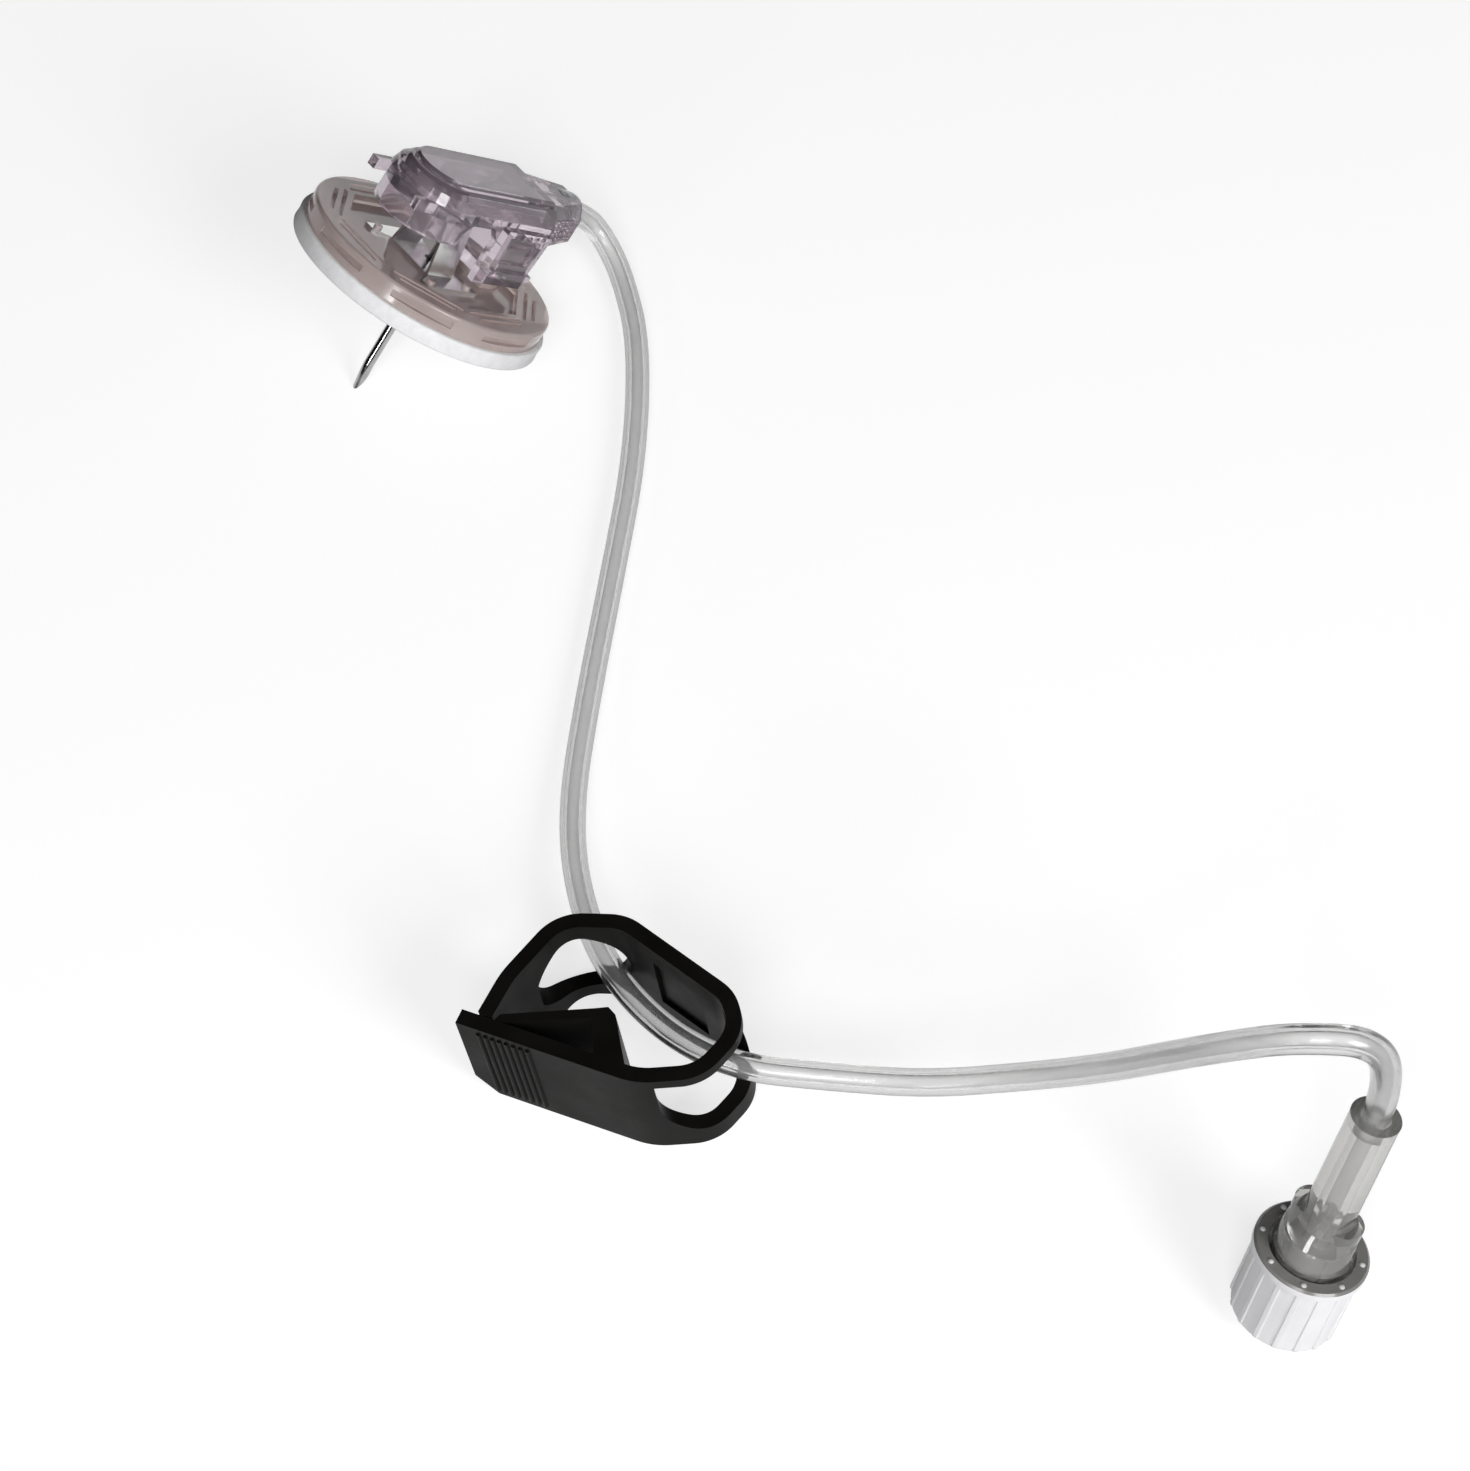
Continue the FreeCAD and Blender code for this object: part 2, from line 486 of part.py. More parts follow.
bind(socketSketch, "DistanceX", (-1, 1, axisLine, 2), "sizes.socket_end")
sleeve = socketBody.newObject("PartDesign::Revolution", "sleeve")
sleeve.Profile = socketSketch
sleeve.ReferenceAxis = (socketSketch, ["Axis0"])
sleeve.Angle = 360


# The needle is one bent tube: down from the tail's line, and slightly bent again at its tip.

def makeNeedle():
    level = size("seam_height")
    bend = size("needle_bend")
    turn = math.radians(size("tip_turn"))
    tipLength = size("tip_length")
    tipCut = tipLength * 0.3
    # The point is on the inner side of the tip's bend, straight below the shank.
    point = Vector(-0.02, 0, -size("needle_out"))
    tipWay = Vector(math.sin(turn), 0, -math.cos(turn))
    tip = point + Vector(math.cos(turn), 0, math.sin(turn)) * size("needle_radius")
    corner = tip - tipWay * (tip.x / math.sin(turn))
    far = Vector(size("tail_end") - size("socket_seat") + 0.5, 0, level)
    start = Vector(bend, 0, level)
    middle = Vector(bend * (1 - math.sqrt(0.5)), 0, level - bend * (1 - math.sqrt(0.5)))
    shank = Vector(0, 0, level - bend)
    skin = Vector(0, 0, 0)
    neck = corner + Vector(0, 0, tipCut)
    knee = corner + tipWay * tipCut
    tipRadius = tipCut / math.tan(turn / 2)
    half = turn / 2
    kneeMiddle = neck + Vector(tipRadius * (1 - math.cos(half)), 0, -tipRadius * math.sin(half))
    path = Part.Wire([
        Part.makeLine(far, start), Part.Arc(start, middle, shank).toShape(),
        Part.makeLine(shank, skin), Part.makeLine(skin, neck),
        Part.Arc(neck, kneeMiddle, knee).toShape(), Part.makeLine(knee, tip + tipWay * 0.3)])
    wide = Part.Wire(Part.makeCircle(size("needle_radius"), far, Vector(-1, 0, 0)))
    narrow = Part.Wire(Part.makeCircle(size("needle_radius") - size("needle_wall"), far, Vector(-1, 0, 0)))
    cannula = path.makePipeShell([wide], True, True).cut(path.makePipeShell([narrow], True, True))
    side = 8 * size("needle_radius")
    bevel = Part.makeBox(side, side, 3 * side, Vector(0, -side / 2, -side / 4))
    bevel.Placement = Placement(point, Rotation(Vector(0, 1, 0), size("bevel_slant")))
    return cannula.cut(bevel)


needleFeature = doc.addObject("Part::Feature", "needle")
needleFeature.Label = "needle"
needleFeature.Shape = makeNeedle()

# Connector: its own frame has Z along its axis, up from the closed end of the cap.

connectorBody = newBody("luer_hub")
connectorSketch = newSketch(connectorBody, "connector_profile", role="XZ_Plane")
seatFloor = "(sizes.barrel_top - sizes.tube_seat)"
outline(connectorSketch, [
    ("sizes.taper_radius", "sizes.mouth_low"), ("sizes.mouth_radius", "sizes.mouth_low"),
    ("sizes.mouth_radius", "sizes.cap_height - 0.8"), ("sizes.mouth_radius + 0.45", "sizes.cap_height + 0.4"),
    ("sizes.mouth_radius + 0.1", "sizes.cap_height + 2.4"), ("sizes.barrel_radius + 0.35", "sizes.shoulder_top - 1.2"),
    ("sizes.barrel_radius + 0.05", "sizes.shoulder_top"), ("sizes.barrel_radius", "sizes.barrel_top"),
    (tubeRoom, "sizes.barrel_top"), (tubeRoom, seatFloor), ("0.65", seatFloor),
    ("0.65", "sizes.mouth_low + sizes.taper_length"),
    ("sizes.taper_radius - 0.03 * sizes.taper_length", "sizes.mouth_low + sizes.taper_length")])
turned(connectorBody, "connector_turned", connectorSketch)
lugSketch = newSketch(connectorBody, "lug_outline", lift="sizes.mouth_low")
outline(lugSketch, [
    ("0 - sizes.mouth_radius - sizes.lug_reach", "-1.1"), ("0 - sizes.mouth_radius + 0.6", "-1.1"),
    ("0 - sizes.mouth_radius + 0.6", "1.1"), ("0 - sizes.mouth_radius - sizes.lug_reach", "1.1")])
outline(lugSketch, [
    ("sizes.mouth_radius - 0.6", "-1.1"), ("sizes.mouth_radius + sizes.lug_reach", "-1.1"),
    ("sizes.mouth_radius + sizes.lug_reach", "1.1"), ("sizes.mouth_radius - 0.6", "1.1")])
pad(connectorBody, "thread_lugs", lugSketch, "1.0")
tabSketch = newSketch(connectorBody, "tab_outline", lift="sizes.shoulder_top - 0.4 - sizes.tab_thick")
for side in (-1, 1):
    rounded(tabSketch, f"({side}) * 1.2", f"({side}) * sizes.tab_end", "sizes.tab_half")
pad(connectorBody, "shoulder_tabs", tabSketch, "sizes.tab_thick")

capBody = newBody("luer_cap")
capSketch = newSketch(capBody, "cap_profile", role="XZ_Plane")
capBore = "(sizes.cap_radius - sizes.cap_wall)"
plugBase = "(sizes.taper_radius - 0.03 * (sizes.cap_floor + 6.4 - sizes.mouth_low) - 0.04)"
outline(capSketch, [
    ("0", "0"), ("sizes.cap_radius - 0.45", "0"), ("sizes.cap_radius - 0.05", "0.45"),
    ("sizes.cap_radius", "sizes.cap_height - sizes.cap_rim_height"),
    ("sizes.cap_radius + sizes.cap_rim", "sizes.cap_height - sizes.cap_rim_height + 0.25"),
    ("sizes.cap_radius + sizes.cap_rim", "sizes.cap_height - 0.2"),
    ("sizes.cap_radius + sizes.cap_rim - 0.2", "sizes.cap_height"),
    ("sizes.cap_mouth + 0.1", "sizes.cap_height"), ("sizes.cap_mouth", "sizes.cap_height - 0.15"),
    ("sizes.cap_mouth", "sizes.cap_height - 0.7"), (capBore, "sizes.cap_height - 0.9"), (capBore, "sizes.cap_floor"),
    ("sizes.taper_radius - 0.06", "sizes.cap_floor"), (plugBase, "sizes.cap_floor + 6.4"), ("0", "sizes.cap_floor + 6.4")])
turned(capBody, "cap_turned", capSketch)
ribSketch = newSketch(capBody, "rib_outline", lift="0.6")
outline(ribSketch, [
    ("sizes.cap_radius - 0.25", "-0.35"), ("sizes.cap_radius + 0.12", "-0.2"),
    ("sizes.cap_radius + 0.12", "0.2"), ("sizes.cap_radius - 0.25", "0.35")])
rib = pad(capBody, "rib", ribSketch, "sizes.cap_height - sizes.cap_rim_height - 0.5")
polar(capBody, "cap_ribs", [rib], "sizes.cap_ribs")


# Pinch clamp: one strip, moulded standing on its long edge. Its own frame has the tip of the
# ridged arm at the origin and Z across the strip. Corners go round the outside of the strip.

clampCorners = [
    (0, 0), (15.2, -6.6), (20.8, -6.5), (24.5, -2.3), (23.5, 1.5), (14.4, 9.4), (8.3, 10.0),
    (3.7, 4.5), (1.9, 0.95)]
clampRounding = [7.0, 4.6, 4.2, 4.2, 4.6, 4.6, 9.0]


def roundedPath(corners, radii):
    """Wire of straight runs and tangent arcs through the corners."""
    points = [Vector(*corner, 0) if len(corner) == 2 else Vector(*corner) for corner in corners]
    edges = []
    previous = points[0]
    for before, point, after, radius in zip(points, points[1:], points[2:], radii):
        incoming = (point - before).normalize()
        outgoing = (after - point).normalize()
        turn = incoming.getAngle(outgoing)
        cut = radius * math.tan(turn / 2)
        arcStart = point - incoming * cut
        arcEnd = point + outgoing * cut
        inward = (outgoing - incoming).normalize()
        arcMiddle = point + inward * (radius / math.cos(turn / 2) - radius)
        if (arcStart - previous).Length > 1e-6:
            edges.append(Part.makeLine(previous, arcStart))
        edges.append(Part.Arc(arcStart, arcMiddle, arcEnd).toShape())
        previous = arcEnd
    edges.append(Part.makeLine(previous, points[-1]))
    return Part.Wire(edges)


def heading(degrees):
    angle = math.radians(degrees)
    return Vector(math.cos(angle), math.sin(angle), 0)


def makeClamp():
    width = size("clamp_width")
    wall = size("clamp_wall")
    hole = size("clamp_hole")
    ribbon = roundedPath(clampCorners, clampRounding)
    clamp = ribbon.makeOffset2D(wall, 0, True, True)
    if clamp.BoundBox.YMin < ribbon.BoundBox.YMin - 0.01:
        clamp = ribbon.makeOffset2D(-wall, 0, True, True)
    clamp = clamp.extrude(Vector(0, 0, width))
    armAngle = math.degrees(math.atan2(clampCorners[1][1], clampCorners[1][0]))
    along = heading(armAngle)
    inward = heading(armAngle + 90)

    # The jaw stands on the ridged arm, and a thin web runs back from it to the arm's tip.
    jaw = [(11.7, -4.3), (14.5, -5.8), (13.5, -0.1), (12.9, 0.65), (11.7, 0.6)]
    web = [(3.1, -0.1), (12.0, -0.35), (12.0, 0.6), (3.8, 0.55)]
    for corners in (jaw, web):
        loop = Part.makePolygon([Vector(*corner, 0) for corner in corners + corners[:1]])
        clamp = clamp.fuse(Part.Face(loop).extrude(Vector(0, 0, width)))

    # Ridges for the thumb on the outside of the arm.
    ridges = []
    for step in range(8):
        foot = along * (2.0 + 0.65 * step) + inward * 0.04
        ridges.append(Part.makeCylinder(size("clamp_ridge"), width - 1.6, foot + Vector(0, 0, 0.8)))
    clamp = clamp.fuse(ridges)

    # Round tube hole in the curved post.
    postHole = Part.makeCylinder(hole, 6, Vector(10.0, 6.0, width / 2 - 0.2), Vector(-0.17, 0.985, 0))
    # Wide hole round the bend, with a round lower edge and a flat top: one cutter swung in steps.
    swing = hole * 1.1
    arch = Part.Wire([
        Part.Arc(Vector(0, -swing, 0), Vector(0, 0, -swing), Vector(0, swing, 0)).toShape(),
        Part.makePolygon([Vector(0, swing, 0), Vector(0, swing, width - 8.1), Vector(0, -swing, width - 8.1),
                          Vector(0, -swing, 0)])])
    cutter = Part.Face(arch).extrude(Vector(9, 0, 0))
    bendCentre = Vector(20.2, -1.8, 6.9)
    cutters = []
    for turn in (-76, -68, -60, -52, -44):
        piece = cutter.copy()
        piece.Placement = Placement(bendCentre, Rotation(Vector(0, 0, 1), turn))
        cutters.append(piece)
    bendHole = cutters[0].fuse(cutters[1:])
    # The arm's tip is cut back at its lower corner.
    tipCut = Part.makeBox(4, 6, 4, Vector(-2, -3, -2))
    tipCut.Placement = Placement(Vector(0, 0, 0), Rotation(Vector(0, 1, 0), 52)) * tipCut.Placement
    tipCut.translate(along * -0.85)

    # Shallow pad recess on the inside of the plain arm.
    armLine = Vector(*clampCorners[5], 0) - Vector(*clampCorners[4], 0)
    armLine.normalize()
    armInner = Vector(*clampCorners[4], 0) + Vector(-armLine.y, armLine.x, 0) * wall
    recess = Part.makeBox(5.4, 0.9, width - 5)
    recess.Placement = Placement(armInner + armLine * 3.0 + Vector(0, 0, 2.4) - Vector(-armLine.y, armLine.x, 0) * 0.35,
                                 Rotation(Vector(0, 0, 1), math.degrees(math.atan2(armLine.y, armLine.x))))
    return clamp.cut([postHole, bendHole, recess, tipCut]).removeSplitter()


clampFeature = doc.addObject("Part::Feature", "pinch_clamp")
clampFeature.Label = "pinch_clamp"
clampFeature.Shape = makeClamp()

doc.recompute()

# Where things lie. The head tips until its needle and the rim of its pad both touch the table.

headTilt = math.degrees(math.atan2(size("needle_out"), size("pad_radius")))
headHeading = 37.6
headRotation = Rotation(Vector(0, 0, 1), headHeading) * Rotation(Vector(0, 1, 0), headTilt)
headLift = size("pad_radius") * math.sin(math.radians(headTilt))
headPlacement = Placement(Vector(0, 0, headLift), headRotation)

capLean = size("connector_lean")
leanHeading = 52.0
connectorRotation = Rotation(heading(leanHeading + 90), capLean) * Rotation(Vector(0, 0, 1), -42)
connectorFoot = (75.6, -105.0)
capStand = (size("cap_radius") - 0.45) * math.sin(math.radians(capLean))
connectorPlacement = Placement(Vector(*connectorFoot, capStand), connectorRotation)

clampRotation = Rotation(Vector(0, 1, 0), -size("clamp_lean"))
clampFoot = Vector(8.5, -83.0, -0.17)
clampPlacement = Placement(clampFoot, clampRotation)

# Route of the tube, chosen by hand. Its ends follow the socket and the connector's barrel.
tailPoint = headPlacement.multVec(Vector(size("socket_end") - size("tube_seat"), 0, size("seam_height")))
tailWay = headRotation.multVec(Vector(1, 0, 0))
barrelPoint = connectorPlacement.multVec(Vector(0, 0, size("barrel_top") - size("tube_seat")))
barrelWay = connectorRotation.multVec(Vector(0, 0, 1))
freeRoute = [
    (18.2, 11.7, 2.9), (20.0, 8.2, 1.2), (21.8, -0.7, 1.2), (21.5, -15.2, 1.2), (19.4, -29.7, 1.2),
    (17.3, -43.7, 1.2), (16.0, -55.1, 1.7), (16.6, -64.6, 3.6), (19.2, -73.8, 5.2), (24.3, -81.0, 6.5),
    (30.7, -85.4, 7.3), (38.3, -86.7, 7.4), (46.6, -88.0, 8.4), (54.2, -89.2, 12.0), (60.1, -91.6, 18.2),
    (64.5, -94.0, 25.0), (67.6, -96.7, 31.6), (71.9, -98.9, 37.0), (78.3, -98.8, 36.9)]
tubeRoute = ([tailPoint, tailPoint + tailWay * 4.0] + [Vector(*point) for point in freeRoute]
             + [barrelPoint + barrelWay * 7.0, barrelPoint])


def makeTube():
    runs = [(after - before).Length for before, after in zip(tubeRoute, tubeRoute[1:])]
    radii = []
    for index in range(1, len(tubeRoute) - 1):
        incoming = tubeRoute[index] - tubeRoute[index - 1]
        outgoing = tubeRoute[index + 1] - tubeRoute[index]
        turn = incoming.getAngle(outgoing)
        radii.append(0.45 * min(runs[index - 1], runs[index]) / math.tan(turn / 2))
    path = roundedPath([tuple(point) for point in tubeRoute], radii)
    section = Part.Wire(Part.makeCircle(size("tube_radius"), tubeRoute[0], tubeRoute[1] - tubeRoute[0]))
    solid = path.makePipeShell([section], True, True)
    expected = math.pi * size("tube_radius") ** 2 * path.Length
    print("tube bend radii:", ", ".join(f"{radius:.1f}" for radius in radii))
    print(f"tube length {path.Length:.1f}, volume {solid.Volume:.1f}, section times length {expected:.1f}")
    return solid


tubeFeature = doc.addObject("Part::Feature", "tube")
tubeFeature.Label = "tube"
tubeFeature.Shape = makeTube()

headPieces = [padBody, discBody, guardBody, hubBody, lidBody, needleFeature, socketBody]
placedPieces = ([(piece, headPlacement) for piece in headPieces]
                + [(connectorBody, connectorPlacement), (capBody, connectorPlacement),
                   (clampFeature, clampPlacement), (tubeFeature, Placement())])
for piece, placement in placedPieces:
    piece.Placement = placement
doc.recompute()

# The origin goes below the middle of the head.
headBox = FreeCAD.BoundBox()
for piece in headPieces:
    headBox.add(piece.Shape.optimalBoundingBox(False, False))
toOrigin = Placement(Vector(-headBox.Center.x, -headBox.Center.y, 0), Rotation())
for piece, placement in placedPieces:
    piece.Placement = toOrigin * placement
doc.recompute()

print("head box", headBox)
print("shift", toOrigin.Base)
for point in tubeRoute:
    moved = toOrigin.multVec(point)
    print(f"    ({moved.x:.2f}, {moved.y:.2f}, {moved.z:.2f})")

failed = [item.Name for item in doc.Objects if "Invalid" in item.State or "Error" in item.State]
if failed:
    raise RuntimeError(f"failed features: {failed}")
os.makedirs("parts", exist_ok=True)
for piece, placement in placedPieces:
    shape = piece.Shape
    if shape.isNull() or not shape.isValid() or len(shape.Solids) < 1:
        raise RuntimeError(f"{piece.Label} is not a valid solid")
    shape.exportStep(f"parts/{piece.Label}.step")
    box = shape.optimalBoundingBox(False, False)
    print(f"{piece.Label}: {len(shape.Solids)} solid, volume {shape.Volume:.2f}, "
          f"X {box.XMin:.2f} {box.XMax:.2f} Y {box.YMin:.2f} {box.YMax:.2f} Z {box.ZMin:.2f} {box.ZMax:.2f}")
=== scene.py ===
import math

import bmesh
import bpy
from mathutils import Matrix, Vector


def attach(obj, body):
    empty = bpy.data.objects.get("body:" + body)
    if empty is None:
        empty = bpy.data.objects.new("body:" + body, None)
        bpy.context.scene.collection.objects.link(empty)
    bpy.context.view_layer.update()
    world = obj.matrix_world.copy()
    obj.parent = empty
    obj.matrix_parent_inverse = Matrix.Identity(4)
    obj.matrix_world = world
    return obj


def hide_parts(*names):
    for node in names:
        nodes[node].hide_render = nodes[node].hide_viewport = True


# Blender counts in metres. Pieces are planned in millimetres, and mm turns those into metres.
mm = 0.001

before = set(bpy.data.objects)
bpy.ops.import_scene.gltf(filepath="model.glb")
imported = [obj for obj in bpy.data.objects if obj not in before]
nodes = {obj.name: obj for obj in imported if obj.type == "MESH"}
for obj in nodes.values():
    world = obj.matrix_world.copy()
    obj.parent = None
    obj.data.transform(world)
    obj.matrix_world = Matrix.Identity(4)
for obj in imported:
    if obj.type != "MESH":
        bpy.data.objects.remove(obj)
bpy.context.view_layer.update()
print("frame loaded:", sorted(nodes))


# Camera: fitted to the photograph, a long lens that looks down on the table

cameraPlan = {
    "target": (28.61, -47.68, 0.0), "down": 57.14, "distance": 291.6, "roll": -0.66,
    "focal": 3138.0, "width": 1470.0, "sensor": 36, "near": 0.01, "far": 20}    # focal and width in pixels
down = math.radians(cameraPlan["down"])
roll = math.radians(cameraPlan["roll"])
forward = Vector((0, math.cos(down), -math.sin(down)))
across = Vector((1, 0, 0))
upward = across.cross(forward)
side = across * math.cos(roll) + upward * math.sin(roll)
rise = upward * math.cos(roll) - across * math.sin(roll)
cameraData = bpy.data.cameras.new("camera")
cameraData.sensor_fit = "HORIZONTAL"
cameraData.sensor_width = cameraPlan["sensor"]
cameraData.lens = cameraPlan["sensor"] * cameraPlan["focal"] / cameraPlan["width"]
cameraData.clip_start = cameraPlan["near"]
cameraData.clip_end = cameraPlan["far"]
camera = bpy.data.objects.new("camera", cameraData)
place = (Vector(cameraPlan["target"]) - forward * cameraPlan["distance"]) * mm
camera.matrix_world = Matrix((
    (side.x, rise.x, -forward.x, place.x),
    (side.y, rise.y, -forward.y, place.y),
    (side.z, rise.z, -forward.z, place.z),
    (0, 0, 0, 1)))
bpy.context.collection.objects.link(camera)
bpy.context.scene.camera = camera
print("camera placed")


# Materials

# The sRGB curve, from a hex value to the linear one that Blender's sockets take
def linear(hexColour):
    values = [int(hexColour[index:index + 2], 16) / 255 for index in (1, 3, 5)]
    return tuple(v / 12.92 if v <= 0.04045 else ((v + 0.055) / 1.055) ** 2.4 for v in values) + (1.0,)


def newMaterial(name):
    material = bpy.data.materials.new(name)
    material.use_nodes = True
    tree = material.node_tree
    shader = tree.nodes["Principled BSDF"]
    return material, tree, shader


def setSockets(shader, values):
    for name, value in values.items():
        shader.inputs[name].default_value = value


def addNode(tree, kind, settings=None, **links):
    node = tree.nodes.new(kind)
    for name, value in (settings or {}).items():
        if name in node.inputs:
            node.inputs[name].default_value = value
        else:
            setattr(node, name, value)
    for name, source in links.items():
        tree.links.new(source, node.inputs[name])
    return node


# Noise whose patches are about size millimetres wide
def noiseAt(tree, size, detail):
    where = addNode(tree, "ShaderNodeTexCoord").outputs["Object"]
    noise = addNode(tree, "ShaderNodeTexNoise", {"Scale": 1 / (size * mm), "Detail": detail}, Vector=where)
    return noise.outputs["Fac"]


# A ramp between two colours or two greys, driven by a texture
def ramp(tree, source, low, high, start=0.3, end=0.7):
    node = addNode(tree, "ShaderNodeValToRGB", Fac=source)
    for stop, value, position in zip(node.color_ramp.elements, (low, high), (start, end)):
        stop.position = position
        stop.color = linear(value) if isinstance(value, str) else (value, value, value, 1)
    return node.outputs["Color"]


# Painted shade: the clear plastic's colour is mixed towards a darker edge colour where its surface turns
# edge-on.
def paintOutlineShade(tree, colour, edge, blend):
    facing = addNode(tree, "ShaderNodeLayerWeight", {"Blend": blend}).outputs["Facing"]
    mix = addNode(tree, "ShaderNodeMix", {"data_type": "RGBA"})
    sockets = {socket.identifier: socket for socket in [*mix.inputs, *mix.outputs]}
    tree.links.new(facing, sockets["Factor_Float"])
    tree.links.new(colour, sockets["A_Color"])
    sockets["B_Color"].default_value = linear(edge)
    return sockets["Result_Color"]


texturePlan = {"mottleDetail": 4.0, "grainDetail": 2.0, "bumpStrength": 0.6}


# A finish: mottle is the width of its patches of colour and gloss, and bump the width and depth of its
# grain, all in millimetres. Even values sit on the sockets.
def surface(name, plan):
    material, tree, shader = newMaterial(name)
    setSockets(shader, plan["sockets"])
    mottle = noiseAt(tree, plan["mottle"], texturePlan["mottleDetail"])
    colour = ramp(tree, mottle, *plan["colours"])
    # Painted shade: an edge entry darkens the colour towards the outline
    if "edge" in plan:
        colour = paintOutlineShade(tree, colour, *plan["edge"])
    tree.links.new(colour, shader.inputs["Base Color"])
    tree.links.new(ramp(tree, mottle, *plan["roughness"]), shader.inputs["Roughness"])
    width, depth = plan["bump"]
    grain = noiseAt(tree, width, texturePlan["grainDetail"])
    height = {"Strength": texturePlan["bumpStrength"], "Distance": depth * mm}
    bump = addNode(tree, "ShaderNodeBump", height, Height=grain)
    tree.links.new(bump.outputs["Normal"], shader.inputs["Normal"])
    return material


# Closed-cell polyethylene foam, die-cut: dead matt and white, with fine pores drawn a little coarse to show
closedFoam = surface("closed_cell_foam", {
    "colours": ("#ececee", "#f8f8fa"), "roughness": (0.8, 0.95), "mottle": 1.1, "bump": (0.38, 0.05),
    "sockets": {"Specular IOR Level": 0.2, "Subsurface Weight": 0.15, "Subsurface Radius": (mm, mm, mm),
                "Subsurface Scale": 1.0}})
# Clear moulded acrylic with a rose-brown tint: glossy, milky from the many ribs behind each other, with
# painted shade darkening it towards its outline
roseAcrylic = surface("rose_acrylic", {
    "colours": ("#f5e4e0", "#faece8"), "roughness": (0.08, 0.14), "mottle": 6.2, "bump": (2.4, 0.001),
    "edge": ("#d2b5b0", 0.3), "sockets": {"Transmission Weight": 0.62, "IOR": 1.49}})
# Clear ABS, moulded in a polished tool, with a mauve tint: see-through, with painted shade darkening its
# outlines
mauveAbs = surface("mauve_clear_abs", {
    "colours": ("#e9dde6", "#f0e6ee"), "roughness": (0.03, 0.07), "mottle": 5.6, "bump": (2.6, 0.001),
    "edge": ("#85707e", 0.35), "sockets": {"Transmission Weight": 0.88, "IOR": 1.53}})
# Drawn stainless steel tube: bright, with the faint unevenness of drawing
drawnSteel = surface("drawn_stainless_steel", {
    "colours": ("#a3a3a4", "#bcbcbd"), "roughness": (0.12, 0.24), "mottle": 1.4, "bump": (0.67, 0.004),
    "sockets": {"Metallic": 1.0}})
# Rolled stainless spring steel: lighter than the drawn tube, with soft even reflections
rolledSteel = surface("rolled_stainless_steel", {
    "colours": ("#d6d7d6", "#e6e7e6"), "roughness": (0.16, 0.24), "mottle": 3.3, "bump": (1.4, 0.0004),
    "sockets": {"Metallic": 1.0}})
# Moulded elastomer: greyish, cloudy and a little soft in its gloss
greyElastomer = surface("grey_elastomer", {
    "colours": ("#b9bcbf", "#c9cccf"), "roughness": (0.2, 0.3), "mottle": 3.3, "bump": (1.7, 0.01),
    "sockets": {"Transmission Weight": 0.75, "IOR": 1.45}})
# Extruded soft PVC: clear and smooth, with grey outlines of painted shade. Its IOR is below PVC's, so that
# the tube looks as light as the real one.
softPvc = surface("soft_clear_pvc", {
    "colours": ("#f8f8f8", "#fcfcfc"), "roughness": (0.1, 0.16), "mottle": 8.3, "bump": (3.8, 0.0005),
    "edge": ("#8b8b8a", 0.5), "sockets": {"Transmission Weight": 0.88, "IOR": 1.42}})
# Moulded black acetal: satin, near black even where it faces the light, with faint changes of gloss
blackAcetal = surface("black_acetal", {
    "colours": ("#100f0e", "#161514"), "roughness": (0.34, 0.46), "mottle": 3.8, "bump": (0.71, 0.012),
    "sockets": {"IOR": 1.48, "Specular IOR Level": 0.04}})
# Clear moulded acrylic copolymer of the connector: glassy, with painted grey shade at its outlines
clearAcrylic = surface("clear_acrylic_copolymer", {
    "colours": ("#e3e2e0", "#ebeae8"), "roughness": (0.03, 0.07), "mottle": 5.0, "bump": (2.5, 0.001),
    "edge": ("#7d7c79", 0.4), "sockets": {"Transmission Weight": 0.8, "IOR": 1.52}})
# Moulded white polyethylene: waxy, light passes a little way into it
whitePolyethylene = surface("white_polyethylene", {
    "colours": ("#e4e3e6", "#ebeaed"), "roughness": (0.3, 0.42), "mottle": 4.2, "bump": (1.1, 0.006),
    "sockets": {"Subsurface Weight": 0.5, "Subsurface Radius": (1.5 * mm, 1.5 * mm, 1.5 * mm),
                "Subsurface Scale": 1.0, "IOR": 1.5}})
# A cloudy darker grey for the cap's mouth, smoky against the white body: on its rim and lip, and as painted
# shade on the top of the wall inside the mouth
mouthGreyAndShade = surface("mouth_grey_and_painted_shade", {
    "colours": ("#908f8c", "#9c9b98"), "roughness": (0.12, 0.2), "mottle": 4.2, "bump": (1.7, 0.006),
    "sockets": {"Transmission Weight": 0.3, "IOR": 1.5}})
print("materials made")


# CAD pieces that keep their shape: each gets a finish and edges that are rounded by this many millimetres.

finishes = {
    "base_disc": (roseAcrylic, 0.08), "needle_guard": (rolledSteel, 0.04), "hub_body": (mauveAbs, 0.12),
    "hub_lid": (mauveAbs, 0.15), "needle": (drawnSteel, 0.0), "tube_socket": (greyElastomer, 0.05),
    "pinch_clamp": (blackAcetal, 0.14), "luer_hub": (clearAcrylic, 0.08),
    "luer_cap": (whitePolyethylene, 0.08)}
edgePlan = {"segments": 2, "sharperThan": 32}
for name, (material, edge) in finishes.items():
    piece = nodes[name]
    piece.data.materials.clear()
    piece.data.materials.append(material)
    if edge:
        bevel = piece.modifiers.new("edges", "BEVEL")
        bevel.width = edge * mm
        bevel.segments = edgePlan["segments"]
        bevel.limit_method = "ANGLE"
        bevel.angle_limit = math.radians(edgePlan["sharperThan"])
        bevel.harden_normals = True
print("finishes set")


# Places of the head and the cap on the table, the same as the solids'

